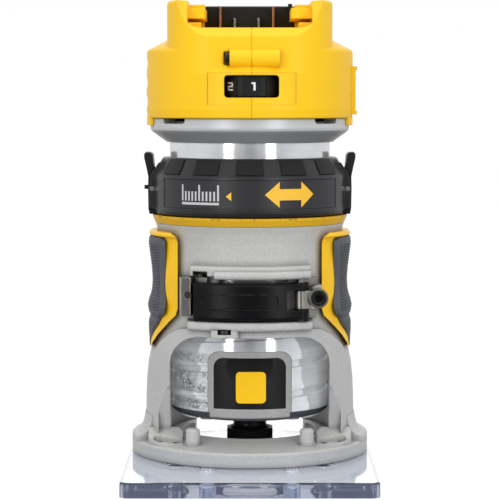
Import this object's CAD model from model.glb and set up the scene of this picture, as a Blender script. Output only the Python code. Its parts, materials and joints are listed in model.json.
"""Compact router standing upright on its clear base plate.

The spindle axis is Z, the front faces -Y and +X is to the right seen from the front.
The CAD pieces are in metres. Sizes here are in mm and go through MM, except on the stage.
"""
import json
import math

import bmesh
import bpy
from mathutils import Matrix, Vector


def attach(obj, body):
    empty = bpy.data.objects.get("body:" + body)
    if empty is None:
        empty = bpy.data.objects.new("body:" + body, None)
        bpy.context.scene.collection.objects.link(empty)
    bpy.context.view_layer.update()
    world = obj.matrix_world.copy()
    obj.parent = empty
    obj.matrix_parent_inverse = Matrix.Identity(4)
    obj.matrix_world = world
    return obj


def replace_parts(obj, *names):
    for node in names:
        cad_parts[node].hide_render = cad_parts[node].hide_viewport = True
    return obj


MM = 0.001

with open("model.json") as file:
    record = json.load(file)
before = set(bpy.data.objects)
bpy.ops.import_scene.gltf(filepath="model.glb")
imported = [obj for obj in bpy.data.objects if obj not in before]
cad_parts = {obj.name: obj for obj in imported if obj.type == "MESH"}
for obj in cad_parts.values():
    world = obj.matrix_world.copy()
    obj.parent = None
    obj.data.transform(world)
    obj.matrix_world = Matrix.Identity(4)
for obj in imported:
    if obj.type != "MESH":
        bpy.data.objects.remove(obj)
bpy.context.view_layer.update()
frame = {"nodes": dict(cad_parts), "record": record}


# ---------------------------------------------------------------- node graphs
def rgba(colour):
    """Four channels from a grey level or an RGB triple."""
    if isinstance(colour, (int, float)):
        return (colour,) * 3 + (1,)
    return tuple(colour) + (1,)


def scaled(colour, factor):
    return [min(1.0, channel * factor) for channel in colour]


class Graph:
    """Short calls for building one shader node tree."""

    def __init__(self, tree):
        self.tree = tree
        tree.nodes.clear()

    def node(self, kind, inputs=None, **settings):
        """Add a node; each input is either a socket to link or a value to set."""
        node = self.tree.nodes.new("ShaderNode" + kind)
        for key, value in settings.items():
            setattr(node, key, value)
        for key, value in (inputs or {}).items():
            if isinstance(value, bpy.types.NodeSocket):
                self.tree.links.new(value, node.inputs[key])
            else:
                node.inputs[key].default_value = value
        return node

    def math(self, operation, first, second=0.0, clamp=False):
        inputs = {0: first, 1: second}
        return self.node("Math", inputs, operation=operation, use_clamp=clamp).outputs[0]

    def times(self, product, *factors):
        for factor in factors:
            product = self.math("MULTIPLY", product, factor)
        return product

    def coords(self, scale=(1, 1, 1)):
        """Object coordinates, in metres before scaling."""
        source = self.node("TexCoord").outputs["Object"]
        return self.node("Mapping", {0: source, "Scale": scale}).outputs[0]

    def xyz(self, vector):
        return self.node("SeparateXYZ", {0: vector}).outputs

    def normal_z(self):
        return self.xyz(self.node("NewGeometry").outputs["Normal"])[2]

    def noise(self, scale, detail=2.0, rough=0.5, vector=None):
        inputs = {"Scale": scale, "Detail": detail, "Roughness": rough,
                  "Vector": vector or self.coords()}
        return self.node("TexNoise", inputs).outputs["Fac"]

    def ramp(self, factor, *stops):
        """Colour ramp; each stop is (position, grey level or RGB)."""
        node = self.node("ValToRGB", {0: factor})
        points = node.color_ramp.elements
        points.remove(points[-1])
        for index, (position, colour) in enumerate(stops):
            point = points.new(position) if index else points[0]
            point.position = position
            point.color = rgba(colour)
        return node.outputs[0]

    def fade(self, factor, low, high):
        """Black at low, white at high."""
        return self.ramp(factor, (low, 0.0), (high, 1.0))

    def mix(self, factor, first, second, mode="MIX"):
        inputs = {0: factor}
        for key, value in ((6, first), (7, second)):
            inputs[key] = rgba(value) if isinstance(value, (tuple, list)) else value
        return self.node("Mix", inputs, data_type="RGBA", blend_type=mode).outputs[2]

    def mix_shader(self, factor, first, second):
        return self.node("MixShader", {0: factor, 1: first, 2: second}).outputs[0]

    def bevel(self, radius):
        """Normals rounded over edges; radius in mm."""
        return self.node("Bevel", {"Radius": radius * MM}, samples=4).outputs[0]

    def bump(self, height, normal, strength, depth):
        """Depth is in mm."""
        inputs = {"Strength": strength, "Distance": depth * MM,
                  "Height": height, "Normal": normal}
        return self.node("Bump", inputs).outputs[0]

    def edge_mask(self, radius):
        """0 on flats, 1 along rounded-over edges."""
        normal = self.node("NewGeometry").outputs["Normal"]
        facing = self.node("VectorMath", {0: self.bevel(radius), 1: normal},
                           operation="DOT_PRODUCT").outputs["Value"]
        return self.fade(self.math("SUBTRACT", 1.0, facing, clamp=True), low=0.02, high=0.22)


MATERIALS = {}


def new_material(name):
    material = bpy.data.materials.new(name)
    material.use_nodes = True
    MATERIALS[name] = material
    return Graph(material.node_tree)


# ---------------------------------------------------------------- opaque materials
def surface(name, colour, rough, metal=0.0, vary=0.08, vary_scale=45.0, grain=0.0,
            grain_scale=1800.0, bump=0.1, bump_scale=2200.0, bump_depth=0.1, wear=0.0,
            wear_colour=None, bevel=0.4, rough_vary=0.08, specular=0.5, dirt=0.55,
            dirt_colour=None, underside=None):
    """Mottled, grained surface with worn edges and dirty recesses.

    The scales are noise frequencies per metre; bump_depth and bevel are in mm.
    """
    graph = new_material(name)
    mottle = graph.fade(graph.noise(vary_scale, detail=4.0, rough=0.6), low=0.3, high=0.7)
    base = graph.mix(mottle, scaled(colour, 1 - vary), scaled(colour, 1 + vary))
    if grain:
        speck = graph.fade(graph.noise(grain_scale, rough=0.7), low=0.32, high=0.68)
        specks = graph.mix(speck, scaled(colour, 0.45), scaled(colour, 1.45))
        base = graph.mix(grain, base, specks)
    if wear:
        edges = graph.edge_mask(bevel * 1.6)
        patches = graph.fade(graph.noise(260.0, detail=4.0, rough=0.7), low=0.42, high=0.62)
        base = graph.mix(graph.times(edges, patches, wear), base, wear_colour)
    open_sky = graph.node("AmbientOcclusion", {"Distance": 3 * MM}, samples=4).outputs["AO"]
    recess = graph.math("SUBTRACT", 1.0, open_sky, clamp=True)
    recess = graph.math("MULTIPLY", recess, dirt * 1.6, clamp=True)
    base = graph.mix(recess, base, dirt_colour or scaled(colour, 0.10))
    if underside is not None:
        # faces that look down are darkened to this fraction
        downward = graph.times(graph.normal_z(), -1.0)
        shade = graph.ramp(downward, (0.15, 1.0), (0.45, underside))
        base = graph.mix(1.0, base, shade, "MULTIPLY")
    rough_noise = graph.noise(vary_scale * 3.1, detail=5.0, rough=0.65)
    roughness = graph.math("ADD", rough - rough_vary * 0.5,
                           graph.times(rough_noise, rough_vary), clamp=True)
    texture = graph.noise(bump_scale, detail=3.0, rough=0.6)
    shader = graph.node("BsdfPrincipled", {
        "Base Color": base, "Roughness": roughness, "Metallic": metal,
        "Specular IOR Level": specular,
        "Normal": graph.bump(texture, graph.bevel(bevel), strength=bump, depth=bump_depth)})
    graph.node("OutputMaterial", {0: shader.outputs[0]})
    return graph, shader


# settings shared by related finishes
PAINTED_CAST = dict(metal=0.15, vary=0.05, grain_scale=1450, bump_scale=1250, wear=0.5,
                    wear_colour=(0.66, 0.65, 0.62), bevel=0.9, rough_vary=0.12)
YELLOW_MOULDED = dict(bump_scale=2600, bump_depth=0.06, wear=0.2)
BLACK_MOULDED = dict(vary=0.12, grain=0.10, bump=0.25, bump_scale=2600, bump_depth=0.07,
                     wear=0.6, bevel=0.5, rough_vary=0.14)
BLACKENED = dict(vary=0.2, vary_scale=150, grain=0.15, bump=0.2, bump_scale=1400,
                 bump_depth=0.06, rough_vary=0.2)
INK = dict(rough=0.5, bump=0.1, bump_scale=3000, bump_depth=0.03, bevel=0.1)

surface("cast_paint", (0.515, 0.514, 0.505), rough=0.50, grain=0.20, bump=0.62,
        bump_depth=0.12, **PAINTED_CAST)
surface("yellow_moulding", (1.0, 0.585, 0.006), rough=0.44, vary=0.025, vary_scale=30,
        grain=0.03, bump=0.16, wear_colour=(1.0, 0.66, 0.08), bevel=0.9, rough_vary=0.1,
        specular=0.30, dirt=0.16, dirt_colour=(0.75, 0.26, 0.0), **YELLOW_MOULDED)
surface("yellow_trim_moulding", (1.0, 0.57, 0.006), rough=0.38, vary=0.03, vary_scale=60,
        grain=0.03, bump=0.14, wear_colour=(1.0, 0.68, 0.12), bevel=0.5,
        specular=0.28, dirt=0.16, dirt_colour=(0.7, 0.25, 0.0), **YELLOW_MOULDED)
surface("yellow_ring_moulding", (0.69, 0.404, 0.013), rough=0.42, vary=0.04, vary_scale=60,
        grain=0.04, bump=0.14, wear_colour=(0.9, 0.58, 0.10), bevel=0.3,
        specular=0.2, dirt=0.4, dirt_colour=(0.4, 0.14, 0.0), **YELLOW_MOULDED)
surface("nut_black", (0.0065, 0.0065, 0.007), rough=0.40, specular=0.10, wear=0.5,
        wear_colour=(0.05, 0.05, 0.05), **BLACKENED)
surface("black_moulding", (0.0105, 0.0105, 0.0115), rough=0.40, specular=0.32,
        wear_colour=(0.05, 0.05, 0.055), **BLACK_MOULDED)
surface("ring_moulding", (0.022, 0.022, 0.024), rough=0.36, specular=0.42,
        wear_colour=(0.08, 0.08, 0.085), **BLACK_MOULDED)
surface("bezel_moulding", (0.0075, 0.0075, 0.0085), rough=0.42, specular=0.22,
        wear_colour=(0.05, 0.05, 0.055), **BLACK_MOULDED)
surface("spindle_thread_steel", (0.030, 0.030, 0.032), rough=0.30, metal=0.5, specular=0.4,
        vary=0.2, vary_scale=300, grain=0.15, bump=0.2, bump_scale=1800, bump_depth=0.05,
        bevel=0.1, wear=0.5, wear_colour=(0.14, 0.13, 0.12))
surface("plain_pin_steel", (0.46, 0.45, 0.43), rough=0.32, metal=0.9, vary=0.1,
        vary_scale=200, grain=0.1, bump=0.15, bump_scale=1400, bump_depth=0.05, wear=0.5,
        wear_colour=(0.75, 0.74, 0.72), bevel=0.3)
surface("ring_pad_rubber", (0.0085, 0.0085, 0.009), rough=0.48, specular=0.28, vary=0.1,
        grain=0.1, bump=0.3, bump_scale=2800, bump_depth=0.08, wear=0.4,
        wear_colour=(0.03, 0.03, 0.032), bevel=0.6)
surface("label_film", (0.027, 0.026, 0.029), rough=0.40, vary=0.06, grain=0.05, bump=0.08,
        bump_scale=3000, bump_depth=0.04, bevel=0.2, specular=0.35, dirt=0.2)
surface("grip_rubber", (0.096, 0.101, 0.116), rough=0.60, grain=0.12, grain_scale=2600,
        bump=0.35, bump_scale=3000, wear=0.3, wear_colour=(0.12, 0.125, 0.135), bevel=0.8,
        specular=0.35)
surface("lever_coating", (0.0035, 0.0038, 0.0044), rough=0.34, vary=0.15, grain=0.08,
        bump=0.2, bump_scale=1800, bump_depth=0.08, wear=0.7, wear_colour=(0.06, 0.06, 0.06),
        bevel=0.8, rough_vary=0.16, specular=0.16)
surface("pressed_steel", (0.32, 0.302, 0.28), rough=0.36, metal=1.0, vary=0.14,
        vary_scale=120, grain=0.12, bump=0.2, bump_scale=900, bump_depth=0.06, wear=0.7,
        wear_colour=(0.62, 0.60, 0.57), bevel=0.5, rough_vary=0.2)
surface("black_oxide", (0.0045, 0.0045, 0.005), rough=0.36, specular=0.22, wear=0.8,
        wear_colour=(0.16, 0.155, 0.15), **BLACKENED)
surface("dark_screw", (0.055, 0.052, 0.05), rough=0.36, metal=0.8, vary=0.2, vary_scale=200,
        grain=0.2, bump=0.2, bump_scale=1600, bump_depth=0.05, wear=0.8,
        wear_colour=(0.30, 0.28, 0.26), bevel=0.3)
surface("collar_paint", (0.585, 0.592, 0.604), rough=0.40, metal=0.30, underside=0.60,
        vary=0.05, vary_scale=70, grain=0.10, grain_scale=3000, bump=0.18, bump_scale=2600,
        bump_depth=0.06, wear=0.5, wear_colour=(0.62, 0.62, 0.62), bevel=0.8, rough_vary=0.14)
surface("ground_steel", (0.62, 0.62, 0.63), rough=0.14, metal=1.0, vary=0.06, bump=0.05,
        bevel=0.3)
surface("laminations", (0.24, 0.24, 0.25), rough=0.42, metal=0.9, vary=0.1, bump=0.4)
surface("copper_contact", (0.80, 0.36, 0.17), rough=0.28, metal=1.0, vary=0.12,
        vary_scale=200, grain=0.1, wear=0.4, wear_colour=(0.95, 0.62, 0.42), bevel=0.2)
surface("copper_winding", (0.62, 0.22, 0.07), rough=0.35, metal=0.85, vary=0.15,
        vary_scale=300, grain=0.2, bump=0.8, bump_scale=1400, bump_depth=0.3)
surface("magnet_coating", (0.12, 0.12, 0.13), rough=0.3, metal=0.8)
surface("solder_mask", (0.014, 0.13, 0.05), rough=0.35, vary=0.2, vary_scale=400, grain=0.2,
        bump=0.3, bump_scale=700)
surface("tin_contact", (0.72, 0.72, 0.70), rough=0.22, metal=1.0, vary_scale=300, grain=0.1,
        bevel=0.2)
surface("printed_grey", (0.55, 0.56, 0.57), vary=0.04, grain=0.05, **INK)
surface("printed_white", (0.86, 0.86, 0.86), vary=0.03, grain=0.04, **INK)
surface("printed_yellow", (0.90, 0.52, 0.03), vary=0.04, grain=0.05, **INK)
surface("printed_dark", (0.05, 0.035, 0.01), rough=0.6, vary=0.2, vary_scale=300, grain=0.1,
        bevel=0.1)


# ---------------------------------------------------------------- special materials
def turned_aluminium():
    """Bare aluminium: fine lathe rings, long streaks and a scuffed patch."""
    graph = new_material("turned_aluminium")
    rings = graph.noise(1.0, detail=3.0, rough=0.7, vector=graph.coords((6, 6, 5200)))
    streak = graph.noise(1.0, detail=3.0, rough=0.6, vector=graph.coords((70, 70, 420)))

    # where the patch lies, in metres: front left, in three worn bands up the can
    patch_x, patch_half_width = -0.0238, 0.0085
    patch_bottom, patch_height = 0.0260, 0.0260
    x, y, z = graph.xyz(graph.coords())
    offset = graph.math("DIVIDE", graph.math("ADD", x, -patch_x), patch_half_width)
    across = graph.math("SUBTRACT", 1.0, graph.math("ABSOLUTE", offset), clamp=True)
    upward = graph.math("DIVIDE", graph.math("SUBTRACT", z, patch_bottom), patch_height)
    bands = graph.ramp(upward, (0.0, 0.0), (0.07, 1.0), (0.18, 1.0), (0.22, 0.05), (0.30, 0.1),
                       (0.34, 1.0), (0.62, 1.0), (0.67, 0.05), (0.78, 0.05), (0.82, 0.75),
                       (0.92, 0.7), (0.98, 0.0))
    front = graph.math("LESS_THAN", y, 0.0)
    region = graph.times(graph.math("POWER", across, 0.25), bands, front)
    fleck = graph.fade(graph.noise(1100.0, detail=6.0, rough=0.75), low=0.42, high=0.54)
    blotch = graph.ramp(graph.noise(170.0, detail=4.0, rough=0.6), (0.34, 0.15), (0.52, 1.0))
    scuff = graph.math("MULTIPLY", graph.times(fleck, blotch), region, clamp=True)

    base = graph.mix(graph.fade(streak, low=0.3, high=0.7),
                     (0.72, 0.735, 0.75), (0.86, 0.87, 0.885))
    base = graph.mix(graph.times(scuff, 0.95), base, (0.10, 0.098, 0.10))
    # polished at 0.07, rougher along the streaks and most of all in the scuffs
    roughness = graph.math("ADD", 0.07, graph.times(streak, 0.09))
    roughness = graph.math("ADD", roughness, graph.times(scuff, 0.45), clamp=True)
    normal = graph.bump(rings, graph.bevel(0.4), strength=0.10, depth=0.02)
    normal = graph.bump(scuff, normal, strength=0.5, depth=0.08)

    # light caught between the can and the bright arms, where a mirror finish would go black
    sides = graph.fade(graph.times(graph.math("ABSOLUTE", x), 20.0), low=0.34, high=0.56)
    lower = graph.ramp(graph.times(z, 10.0), (0.25, 0.3), (0.30, 1.0), (0.54, 1.0), (0.62, 0.0))
    glow = graph.times(sides, lower, graph.times(front, 0.17))
    shader = graph.node("BsdfPrincipled", {
        "Base Color": base, "Metallic": 0.60, "Roughness": roughness, "Anisotropic": 0.35,
        "Normal": normal,
        "Emission Color": graph.mix(1.0, base, (0.97, 0.985, 1.0), "MULTIPLY"),
        "Emission Strength": glow})
    graph.node("OutputMaterial", {0: shader.outputs[0]})


def clear_material(name, tint, rough, edge_colour=None, edge_amount=0.0):
    """Transparent plastic; its upright faces can be tinted with edge_colour."""
    graph = new_material(name)
    mottle = graph.fade(graph.noise(60, detail=3), low=0.3, high=0.7)
    haze = graph.fade(graph.noise(900.0, detail=4.0, rough=0.6), low=0.55, high=0.75)
    look = graph.node("BsdfPrincipled", {
        "Base Color": graph.mix(mottle, tint, scaled(tint, 1.03)),
        "Transmission Weight": 1.0, "IOR": 1.49,
        "Roughness": graph.math("ADD", rough, graph.times(haze, 0.05)),
        "Normal": graph.bevel(0.6)}).outputs[0]
    if edge_colour:
        upright = graph.math("LESS_THAN", graph.math("ABSOLUTE", graph.normal_z()), 0.6)
        diffuse = graph.node("BsdfDiffuse", {0: rgba(edge_colour)}).outputs[0]
        look = graph.mix_shader(graph.times(upright, edge_amount), look, diffuse)
    # light passes through for shadow and bounce rays so the floor below stays bright
    ray = graph.node("LightPath").outputs
    passing = graph.node("BsdfTransparent", {0: rgba(tint)}).outputs[0]
    bounced = graph.math("GREATER_THAN", ray["Diffuse Depth"], 0.5)
    unseen = graph.math("MAXIMUM", ray["Is Shadow Ray"], bounced)
    graph.node("OutputMaterial", {0: graph.mix_shader(unseen, look, passing)})


def cap_paint():
    """Painted cap with a dark underside and dark outer ends of its rim."""
    # heights and distance from the middle, in metres
    dark_below, rim_top, rim_inner_x = 0.02385, 0.02640, 0.0166
    graph, shader = surface("cap_paint", (0.37, 0.368, 0.358), rough=0.46, grain=0.19,
                            bump=0.55, bump_depth=0.10, **PAINTED_CAST)
    paint = shader.inputs["Base Color"].links[0].from_socket
    x, _, z = graph.xyz(graph.coords())
    low = graph.math("LESS_THAN", z, dark_below)
    rim = graph.times(graph.math("LESS_THAN", z, rim_top),
                      graph.math("GREATER_THAN", graph.math("ABSOLUTE", x), rim_inner_x))
    dark = graph.mix(graph.math("MAXIMUM", low, rim), paint, (0.062, 0.068, 0.090))
    graph.tree.links.new(dark, shader.inputs["Base Color"])


turned_aluminium()
clear_material("clear_polycarbonate", tint=(0.86, 0.895, 0.985), rough=0.03,
               edge_colour=(0.25, 0.29, 0.43), edge_amount=0.36)
clear_material("lamp_lens", tint=(0.95, 0.96, 0.97), rough=0.12)
cap_paint()

# CAD material slot -> material
SLOT_MATERIAL = {
    "cast_grey": "cast_paint", "clear_plate": "clear_polycarbonate",
    "dark_screw": "dark_screw", "grip_rubber": "grip_rubber",
    "yellow_plastic": "yellow_moulding", "steel": "pressed_steel",
    "lever_black": "lever_coating", "can_aluminium": "turned_aluminium",
    "collar_grey": "collar_paint", "black_plastic": "black_moulding",
    "label_black": "label_film", "lens": "lamp_lens", "bearing_steel": "ground_steel",
    "laminations": "laminations", "copper": "copper_contact", "magnet": "magnet_coating",
    "board_green": "solder_mask", "black_oxide": "black_oxide", "pin_silver": "tin_contact"}
# single pieces that differ from the rest of their slot
PIECE_MATERIAL = {
    "ring_grip_pads": "ring_pad_rubber", "grip_trim_left": "yellow_trim_moulding",
    "grip_trim_right": "yellow_trim_moulding", "lock_button": "yellow_trim_moulding",
    "scale_ring": "yellow_ring_moulding", "collet_nut": "nut_black",
    "stator_windings": "copper_winding", "depth_ring": "ring_moulding",
    "lock_bezel": "bezel_moulding", "tab_pivot_pins": "plain_pin_steel",
    "clamp_adjust_screw": "black_oxide", "lower_cap": "cap_paint"}

for piece in frame["record"]["subparts"]:
    node_name = piece["node"]
    finish = PIECE_MATERIAL.get(node_name, SLOT_MATERIAL[piece["material_slot"]])
    for material_slot in frame["nodes"][node_name].material_slots:
        material_slot.material = MATERIALS[finish]


# ---------------------------------------------------------------- mesh helpers
def make_object(name, verts, faces, material, body, smooth=True):
    """Object from verts in metres, carried by the given body."""
    mesh = bpy.data.meshes.new(name)
    mesh.from_pydata(verts, [], faces)
    mesh.validate()
    mesh.update()
    obj = bpy.data.objects.new(name, mesh)
    bpy.context.scene.collection.objects.link(obj)
    mesh.materials.append(MATERIALS[material])
    if smooth:
        for face in mesh.polygons:
            face.use_smooth = True
    work = bmesh.new()
    work.from_mesh(mesh)
    bmesh.ops.recalc_face_normals(work, faces=work.faces)
    work.to_mesh(mesh)
    work.free()
    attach(obj, body)
    return obj


def mark_sharp(obj, degrees):
    work = bmesh.new()
    work.from_mesh(obj.data)
    for edge in work.edges:
        if len(edge.link_faces) == 2 and edge.calc_face_angle(0.0) > math.radians(degrees):
            edge.smooth = False
    work.to_mesh(obj.data)
    work.free()


def circle(radius, z, count, x=0.0, y=0.0):
    """Level ring of points in metres, from sizes in mm."""
    turns = [2 * math.pi * k / count for k in range(count)]
    return [((x + radius * math.cos(a)) * MM, (y + radius * math.sin(a)) * MM, z * MM)
            for a in turns]


def bridge(first, second, count):
    """Quads between two closed rings of verts that start at these indices."""
    return [[first + k, first + (k + 1) % count, second + (k + 1) % count, second + k]
            for k in range(count)]


def rectangle(left, bottom, right, top):
    return [(left, bottom), (right, bottom), (right, top), (left, top)]


def on_cylinder(u, z, radius):
    """Point in metres at arc length u from the front, positive to the right."""
    angle = -math.pi / 2 + u / radius
    return (radius * math.cos(angle) * MM, radius * math.sin(angle) * MM, z * MM)


def decal(name, outlines, radius, raised, material, body):
    """Thin raised print wrapped on a cylinder; outlines are flat, in (u, z)."""
    sunk, longest_edge = 0.05, 1.2
    verts, faces = [], []
    for outline in outlines:
        flat = bmesh.new()
        flat.faces.new([flat.verts.new((u, z, 0)) for u, z in outline])
        bmesh.ops.triangulate(flat, faces=flat.faces[:])
        # short edges let the print follow the curve
        for _ in range(4):
            long_edges = [edge for edge in flat.edges if edge.calc_length() > longest_edge]
            if not long_edges:
                break
            bmesh.ops.subdivide_edges(flat, edges=long_edges, cuts=1)
            bmesh.ops.triangulate(flat, faces=flat.faces[:])
        flat.verts.ensure_lookup_table()
        flat.verts.index_update()
        front = len(verts)
        back = front + len(flat.verts)
        for layer in (radius + raised, radius - sunk):
            for vert in flat.verts:
                verts.append(on_cylinder(vert.co.x * layer / radius, vert.co.y, layer))
        for face in flat.faces:
            corners = [vert.index for vert in face.verts]
            faces.append([front + i for i in corners])
            faces.append([back + i for i in reversed(corners)])
        for edge in flat.edges:
            if len(edge.link_faces) == 1:
                start, end = (vert.index for vert in edge.verts)
                faces.append([front + start, front + end, back + end, back + start])
        flat.free()
    make_object(name, verts, faces, material, body, smooth=False)


def closed_wire(name, path, radius, material, body, sides=8):
    """Round wire along a closed path, in metres, on a cylinder about Z."""
    points = [Vector(point) for point in path]
    count = len(points)
    verts, faces = [], []
    for i, point in enumerate(points):
        along = (points[(i + 1) % count] - points[i - 1]).normalized()
        # the outward direction keeps the section from twisting
        outward = Vector((point.x, point.y, 0)).normalized()
        outward = (outward - along * outward.dot(along)).normalized()
        side = along.cross(outward).normalized()
        for k in range(sides):
            angle = 2 * math.pi * k / sides
            verts.append(point + (side * math.cos(angle) + outward * math.sin(angle)) * radius)
        faces += bridge(i * sides, (i + 1) % count * sides, sides)
    make_object(name, verts, faces, material, body)


def rounded_rectangle(left, right, bottom, top, radius, corner_points=7, longest=1.5):
    """Closed outline; long runs are divided so that they bend round a cylinder."""
    corners = ((right - radius, top - radius, 0), (left + radius, top - radius, 90),
               (left + radius, bottom + radius, 180), (right - radius, bottom + radius, 270))
    outline = []
    for u, z, start in corners:
        for i in range(corner_points):
            angle = math.radians(start + 90.0 * i / (corner_points - 1))
            outline.append((u + radius * math.cos(angle), z + radius * math.sin(angle)))
    divided = []
    for i, (u, z) in enumerate(outline):
        next_u, next_z = outline[(i + 1) % len(outline)]
        parts = max(1, int(math.hypot(next_u - u, next_z - z) / longest))
        for j in range(parts):
            divided.append((u + (next_u - u) * j / parts, z + (next_z - z) * j / parts))
    return divided


# ---------------------------------------------------------------- side grips
# (radius of the casting under the grip, height)
CAST_PROFILE = [
    (44.9, 13.0), (44.6, 20.0), (44.4, 31.0), (44.1, 38.0), (43.4, 45.0), (41.9, 52.0),
    (40.2, 58.0), (39.1, 63.0), (38.8, 68.0), (38.7, 92.0), (38.9, 97.0), (39.4, 101.0),
    (40.2, 104.0)]
# (outer radius of the grip, height)
GRIP_PROFILE = [
    (43.0, 51.6), (43.05, 54.0), (43.15, 58.0), (43.2, 61.0), (43.0, 63.2), (42.55, 64.6),
    (43.35, 66.3), (43.55, 69.0), (43.0, 71.5), (42.2, 73.8), (41.75, 76.0), (41.5, 80.0),
    (41.85, 85.0), (42.6, 91.0), (43.2, 95.5), (43.1, 97.5), (42.4, 98.6)]
# (distance of the grip's front and back edges from the plane x = 0, height)
GRIP_EDGE = [
    (42.2, 51.4), (41.9, 54.0), (41.0, 58.6), (39.0, 63.0), (36.4, 67.0), (35.8, 70.5),
    (35.9, 97.0), (36.6, 98.75)]
GRIP_BOTTOM, GRIP_TOP = 51.65, 98.6
GRIP_ROWS, GRIP_COLUMNS = 330, 84
CAST_GAP = 0.05
EDGE_INSET = 0.06
EDGE_DROP, EDGE_ROUND = 1.1, 2.4        # how far the edges roll in, over what width
RIB_PITCH, RIB_HEIGHT = 1.15, 0.24
COLUMN_PITCH, COLUMN_DEPTH = 4.2, 0.30
MIN_WALL, WALL_FLOOR = 0.35, 2.32       # least wall; height over the cast kept if there is room


def at_height(table, z):
    """First column of a table, interpolated at height z."""
    if z <= table[0][1]:
        return table[0][0]
    for (value, low), (next_value, high) in zip(table, table[1:]):
        if low <= z <= high:
            return value + (next_value - value) * ((z - low) / (high - low))
    return table[-1][0]


def smoothstep(low, high, x):
    t = max(0.0, min(1.0, (x - low) / (high - low)))
    return t * t * (3 - 2 * t)


def edge_angle(z, radius):
    """Angle from the X axis to the grip's edge at this radius."""
    return math.acos(min(0.9999, (at_height(GRIP_EDGE, z) + EDGE_INSET) / radius))


def grip_outer_radius(z, angle, from_edge):
    outer = at_height(GRIP_PROFILE, z)
    cast = at_height(CAST_PROFILE, z)
    radius = outer - EDGE_DROP * (1 - smoothstep(0.0, EDGE_ROUND, from_edge))
    # the ribs fade out at the borders and leave a plain band across the waist
    ribbed = (smoothstep(3.0, 5.0, from_edge)
              * smoothstep(GRIP_BOTTOM + 3, GRIP_BOTTOM + 6, z)
              * (1 - smoothstep(GRIP_TOP - 4, GRIP_TOP - 1.5, z)))
    ribbed *= 1 - smoothstep(62.5, 63.4, z) * (1 - smoothstep(67.0, 68.0, z))
    radius += RIB_HEIGHT * ribbed * math.sin(2 * math.pi * z / RIB_PITCH)
    # narrow upright grooves across the rib rows
    groove = (0.5 + 0.5 * math.cos(2 * math.pi * angle * outer / COLUMN_PITCH)) ** 6
    radius -= COLUMN_DEPTH * ribbed * groove
    return max(radius, cast + CAST_GAP + MIN_WALL, min(outer, cast + WALL_FLOOR))


def make_grip(side, name):
    """Ribbed shell: an outer and an inner skin, joined round the border."""
    verts, faces = [], []
    for skin in ("outer", "inner"):
        for i in range(GRIP_ROWS + 1):
            z = GRIP_BOTTOM + (GRIP_TOP - GRIP_BOTTOM) * i / GRIP_ROWS
            outer = at_height(GRIP_PROFILE, z)
            inner = at_height(CAST_PROFILE, z) + CAST_GAP
            half_angle = edge_angle(z, outer)
            if skin == "inner":
                reaches = at_height(GRIP_EDGE, z) < inner
                inner_angle = edge_angle(z, inner + 0.2) if reaches else 0.001
                inner_angle = min(inner_angle, half_angle)
            for j in range(GRIP_COLUMNS + 1):
                t = -1 + 2.0 * j / GRIP_COLUMNS
                if skin == "outer":
                    angle = t * half_angle
                    from_edge = (1 - abs(t)) * half_angle * outer
                    radius = grip_outer_radius(z, angle, from_edge)
                else:
                    angle = t * inner_angle
                    radius = inner
                verts.append((side * radius * math.cos(angle) * MM,
                              -radius * math.sin(angle) * MM, z * MM))
    width = GRIP_COLUMNS + 1
    back = (GRIP_ROWS + 1) * width
    for i in range(GRIP_ROWS):
        for j in range(GRIP_COLUMNS):
            p = i * width + j
            q = back + p
            faces.append([p, p + 1, p + width + 1, p + width])
            faces.append([q, q + width, q + width + 1, q + 1])
    for i in range(GRIP_ROWS):
        for j in (0, GRIP_COLUMNS):
            p = i * width + j
            faces.append([p, p + width, back + p + width, back + p])
    for j in range(GRIP_COLUMNS):
        for i in (0, GRIP_ROWS):
            p = i * width + j
            faces.append([p, p + 1, back + p + 1, back + p])
    grip = make_object(name, verts, faces, "grip_rubber", "base")
    mark_sharp(grip, degrees=60)
    return grip


for side, side_name in ((-1, "left"), (1, "right")):
    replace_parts(make_grip(side, "side_grip_ribbed_" + side_name), "grip_" + side_name)


# ---------------------------------------------------------------- depth ring print
def ring_print(name, outlines, ink):
    decal(name, outlines, 40.78, 0.04, ink, "depth_ring")


def ring_graduations():
    """Eleven ticks, every fifth one long, over a base line."""
    count, first, pitch, half_width = 11, -30.4, 1.72, 0.42
    foot, short, long = 114.6, 3.9, 6.6
    outlines = []
    for i in range(count):
        u = first + i * pitch
        height = short if i % 5 else long
        outlines.append(rectangle(u - half_width, foot, u + half_width, foot + height))
    last = first + (count - 1) * pitch
    outlines.append(rectangle(first - half_width, 113.0, last + half_width, 114.0))
    ring_print("ring_graduation_print", outlines, "printed_grey")


# outlines in (u, z)
INDEX_TRIANGLE = [(-9.9, 116.6), (-7.6, 114.8), (-7.6, 118.4)]
TURN_ARROW = [
    (6.2, 117.3), (12.4, 122.6), (12.4, 119.6), (22.2, 119.6), (22.2, 122.6),
    (28.4, 117.3), (22.2, 112.0), (22.2, 115.0), (12.4, 115.0), (12.4, 112.0)]

ring_graduations()
ring_print("ring_index_print", [INDEX_TRIANGLE], "printed_yellow")
ring_print("ring_turn_arrow_print", [TURN_ARROW], "printed_yellow")


# ---------------------------------------------------------------- scale ring print
def scale_graduations():
    """Ticks all round, with four small tapered marks between the long ones."""
    radius, count, top = 41.4, 48, 107.46
    mark_bottom, mark_top = 106.85, 107.40
    outlines = []
    for i in range(count):
        u = 2 * math.pi * radius * (i + 0.35) / count
        height, half_width = (0.42, 0.11) if i % 6 else (0.75, 0.16)
        outlines.append(rectangle(u - half_width, top - height, u + half_width, top))
        if i % 6 == 3:
            for offset in (-1.6, -0.9, 0.9, 1.6):
                middle = u + offset
                outlines.append([(middle - 0.22, mark_bottom), (middle + 0.22, mark_bottom),
                                 (middle + 0.12, mark_top), (middle - 0.12, mark_top)])
    decal("scale_ring_graduations", outlines, radius, 0.02, "printed_dark", "scale_ring")


scale_graduations()

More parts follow.
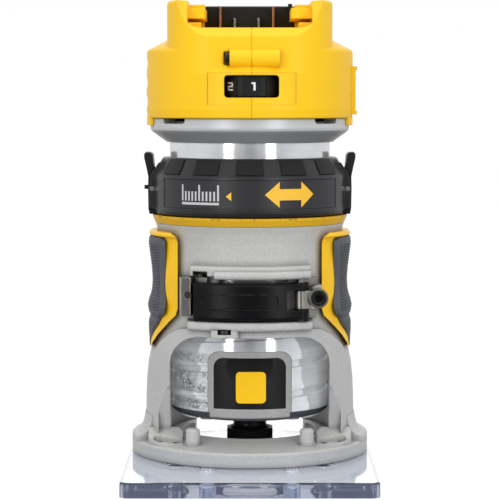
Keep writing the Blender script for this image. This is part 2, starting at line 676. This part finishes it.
# ---------------------------------------------------------------- speed dial digits
HALF_W, HALF_H = 3.0 / 2, 3.4 / 2
STEM, BAR = 0.82, 0.60                  # stroke widths, upright and level
# seven-segment strokes: left, bottom, right, top
STROKES = {
    "a": (-HALF_W, HALF_H - BAR, HALF_W, HALF_H),
    "b": (HALF_W - STEM, 0, HALF_W, HALF_H),
    "c": (HALF_W - STEM, -HALF_H, HALF_W, 0),
    "d": (-HALF_W, -HALF_H, HALF_W, -HALF_H + BAR),
    "e": (-HALF_W, -HALF_H, -HALF_W + STEM, 0),
    "f": (-HALF_W, 0, -HALF_W + STEM, HALF_H),
    "g": (-HALF_W, -BAR / 2, HALF_W, BAR / 2)}
# the one is an upright with a flag
ONE = [(-0.10, -HALF_H, 0.74, HALF_H), (-0.90, HALF_H - 0.75, -0.05, HALF_H)]
DIGITS = [ONE] + [[STROKES[key] for key in keys]
                  for keys in ("abged", "abgcd", "fgbc", "afgcd", "afgecd", "abc")]
DIAL_CENTRE = Vector((0.8, -29.2, 161.45))
# middle of a flat on the dial's rim
DIAL_FLAT = 14.0 * math.cos(math.radians(21.0))
DIGIT_SHIFT = 0.8
DIGIT_RAISED = 0.05
BOX_FACES = ((0, 1, 2, 3), (7, 6, 5, 4), (0, 4, 5, 1), (1, 5, 6, 2), (2, 6, 7, 3), (3, 7, 4, 0))

for i, strokes in enumerate(DIGITS):
    angle = math.radians(270 - 45 * i)
    outward = Vector((math.cos(angle), math.sin(angle), 0))
    right = Vector((-math.sin(angle), math.cos(angle), 0))
    verts, faces = [], []
    for stroke in strokes:
        start = len(verts)
        for reach in (DIAL_FLAT - DIGIT_RAISED, DIAL_FLAT + DIGIT_RAISED):
            for u, up in rectangle(*stroke):
                point = (DIAL_CENTRE + outward * reach + right * (u + DIGIT_SHIFT)
                         + Vector((0, 0, up)))
                verts.append(point * MM)
        faces += [[start + corner for corner in face] for face in BOX_FACES]
    make_object("dial_digit_%d" % (i + 1), verts, faces, "printed_white", "speed_dial",
                smooth=False)

# ---------------------------------------------------------------- lever outline
LEVER_RADIUS = 46.98
lever_outline = rounded_rectangle(left=-20.2, right=11.6, bottom=70.6, top=76.9, radius=2.6)
closed_wire("lever_raised_outline", [on_cylinder(u, z, LEVER_RADIUS) for u, z in lever_outline],
            0.36 * MM, "lever_coating", "clamp_lever")


# ---------------------------------------------------------------- spindle thread
def spindle_thread():
    """Helical thread as a sleeve on the spindle nose."""
    root, depth, wall = 6.85, 0.42, 0.45
    bottom, top, pitch = 16.6, 23.9, 1.5
    count, rows_per_pitch, fade_rows = 72, 10, 6.0
    verts, faces = [], []
    rows = int((top - bottom) / pitch * rows_per_pitch)
    for i in range(rows + 1):
        z = bottom + (top - bottom) * i / rows
        fade = min(1.0, i / fade_rows, (rows - i) / fade_rows)
        for k in range(count):
            angle = 2 * math.pi * k / count
            phase = ((z - bottom) / pitch - angle / (2 * math.pi)) % 1.0
            radius = root + depth * (1 - abs(2 * phase - 1)) * fade
            verts.append((radius * math.cos(angle) * MM, radius * math.sin(angle) * MM, z * MM))
    for i in range(rows):
        faces += bridge(i * count, (i + 1) * count, count)
    # the inner wall stays inside the steel, clear of the bore
    low = len(verts)
    high = low + count
    crest = rows * count
    for z in (bottom, top):
        verts += circle(root - wall, z, count)
    for k in range(count):
        n = (k + 1) % count
        faces.append([n, k, low + k, low + n])
        faces.append([low + n, low + k, high + k, high + n])
        faces.append([crest + k, crest + n, high + n, high + k])
    make_object("spindle_nose_thread", verts, faces, "spindle_thread_steel", "spindle_unit")


spindle_thread()

# ---------------------------------------------------------------- holes in the foot's pockets
# (distance from the plane x = 0, y) of the two holes on each side
FOOT_HOLES = ((37.9, -26.4), (30.9, -29.0))
# profiles in (radius, height)
HOLE_RIM = [(1.10, 12.95), (1.30, 13.44), (1.52, 13.46), (1.66, 13.41), (1.30, 13.38),
            (1.12, 12.92), (1.10, 12.95)]
HOLE_THREAD = [(1.22, 13.02)]
for i in range(5):
    HOLE_THREAD += [(1.02, 12.85 - 0.5 * i), (1.20, 12.60 - 0.5 * i)]
HOLE_THREAD += [(1.20, 10.2), (0.02, 10.2), (0.02, 10.1), (1.23, 10.1), (1.23, 13.0),
                (1.22, 13.02)]


def lathe(name, x, y, profile, material, count=36):
    """Part of the foot turned about an upright axis at x, y."""
    verts, faces = [], []
    for radius, z in profile:
        verts += circle(radius, z, count, x, y)
    for i in range(len(profile) - 1):
        faces += bridge(i * count, (i + 1) * count, count)
    make_object(name, verts, faces, material, "base")


hole_places = [(side * x, y) for side in (-1, 1) for x, y in FOOT_HOLES]
for number, (x, y) in enumerate(hole_places, start=1):
    lathe("foot_hole_rim_%d" % number, x, y, HOLE_RIM, "tin_contact")
    lathe("foot_hole_thread_%d" % number, x, y, HOLE_THREAD, "nut_black")


# ---------------------------------------------------------------- stage, in metres
def studio_floor():
    """White to the camera, grey for bounced light, absent from reflections."""
    bpy.ops.mesh.primitive_plane_add(size=30, location=(0, 0, -0.0002))
    floor = bpy.context.object
    floor.name = "studio_floor"
    graph = new_material("studio_floor")
    white = graph.node("Emission", {0: rgba(1), 1: 1.13}).outputs[0]
    grey = graph.mix(graph.noise(3.0), (0.46,) * 3, (0.50,) * 3)
    diffuse = graph.node("BsdfDiffuse", {0: grey}).outputs[0]
    ray = graph.node("LightPath").outputs
    through = ray["Is Transmission Ray"]
    seen = graph.math("MAXIMUM", ray["Is Camera Ray"], graph.times(through, 0.55))
    look = graph.mix_shader(seen, diffuse, graph.mix_shader(0.13, white, diffuse))
    mirrored = graph.times(ray["Is Glossy Ray"], graph.math("SUBTRACT", 1.0, through))
    nothing = graph.node("BsdfTransparent").outputs[0]
    graph.node("OutputMaterial", {0: graph.mix_shader(mirrored, look, nothing)})
    floor.data.materials.append(MATERIALS["studio_floor"])


def studio_world():
    """Plain white, except for what shiny surfaces reflect."""
    world = bpy.data.worlds.new("studio")
    bpy.context.scene.world = world
    world.use_nodes = True
    world.cycles.sampling_method = "NONE"
    graph = Graph(world.node_tree)

    def backdrop(colour, strength):
        return graph.node("Background", {0: colour, 1: strength}).outputs[0]

    x, y, z = graph.xyz(graph.node("TexCoord").outputs["Generated"])
    # 0 towards the front, 1 towards the back
    azimuth = graph.math("ARCTAN2", graph.math("ABSOLUTE", x), graph.times(y, -1.0))
    azimuth = graph.math("DIVIDE", azimuth, math.pi)
    # dark camera side, pale flats round the sides and back
    flats = graph.ramp(
        azimuth, (0.0, (0.13, 0.135, 0.14)), (0.030, (0.15, 0.155, 0.16)),
        (0.050, (0.33, 0.34, 0.355)), (0.10, (0.42, 0.43, 0.45)), (0.20, (0.52, 0.53, 0.55)),
        (0.30, (0.74, 0.76, 0.79)), (0.42, (0.93, 0.95, 0.98)), (0.75, (0.98, 0.99, 1.0)),
        (1.0, (1.0, 1.0, 1.0)))
    # dimmer below the horizon, stronger straight behind
    height = graph.times(graph.math("ADD", z, 1.0), 0.5)
    flats = graph.mix(1.0, flats, graph.ramp(height, (0.25, 0.22), (0.42, 1.0)), "MULTIPLY")
    behind = graph.fade(azimuth, low=0.88, high=0.95)
    strength = graph.math("ADD", 0.84, graph.times(behind, 0.8))

    ray = graph.node("LightPath").outputs
    lighting = graph.mix_shader(ray["Is Glossy Ray"], backdrop(rgba(1), strength=0.81),
                                backdrop(flats, strength))
    seen = graph.math("MAXIMUM", ray["Is Camera Ray"], ray["Is Transmission Ray"])
    view = graph.mix_shader(seen, lighting, backdrop(rgba(1), strength=1.0))
    graph.node("OutputWorld", {0: view})


def area_light(name, location, target, width, height, power):
    light = bpy.data.lights.new(name, "AREA")
    light.shape = "RECTANGLE"
    light.size = width
    light.size_y = height
    light.energy = power
    obj = bpy.data.objects.new(name, light)
    bpy.context.scene.collection.objects.link(obj)
    obj.location = location
    aim = Vector(target) - Vector(location)
    obj.rotation_euler = aim.to_track_quat("-Z", "Y").to_euler()


def studio_lights():
    """Two tall softboxes either side of the camera and one light above."""
    distance, angle = 1.25, math.radians(29.5)
    for side, side_name in ((-1, "left"), (1, "right")):
        place = (side * math.sin(angle) * distance, -math.cos(angle) * distance, 0.30)
        area_light("softbox_" + side_name, place, target=(0, 0, 0.10), width=0.24,
                   height=1.1, power=4.7)
    area_light("top_light", (0, -0.30, 1.3), target=(0, 0, 0.1), width=1.0, height=0.8,
               power=3.6)


def main_camera():
    """Long lens in front of the router, tipped slightly down."""
    tilt_down = 4.27
    camera = bpy.data.cameras.new("main_camera")
    camera.sensor_width = 36.0
    camera.lens = 146.592
    camera.shift_x = 0.0004
    camera.clip_start = 0.01
    obj = bpy.data.objects.new("main_camera", camera)
    scene = bpy.context.scene
    scene.collection.objects.link(obj)
    obj.location = (0, -0.870, 0.156776)
    obj.rotation_euler = (math.radians(90 - tilt_down), 0, 0)
    scene.camera = obj
    scene.view_settings.view_transform = "Standard"
    scene.view_settings.look = "None"


studio_floor()
studio_world()
studio_lights()
main_camera()
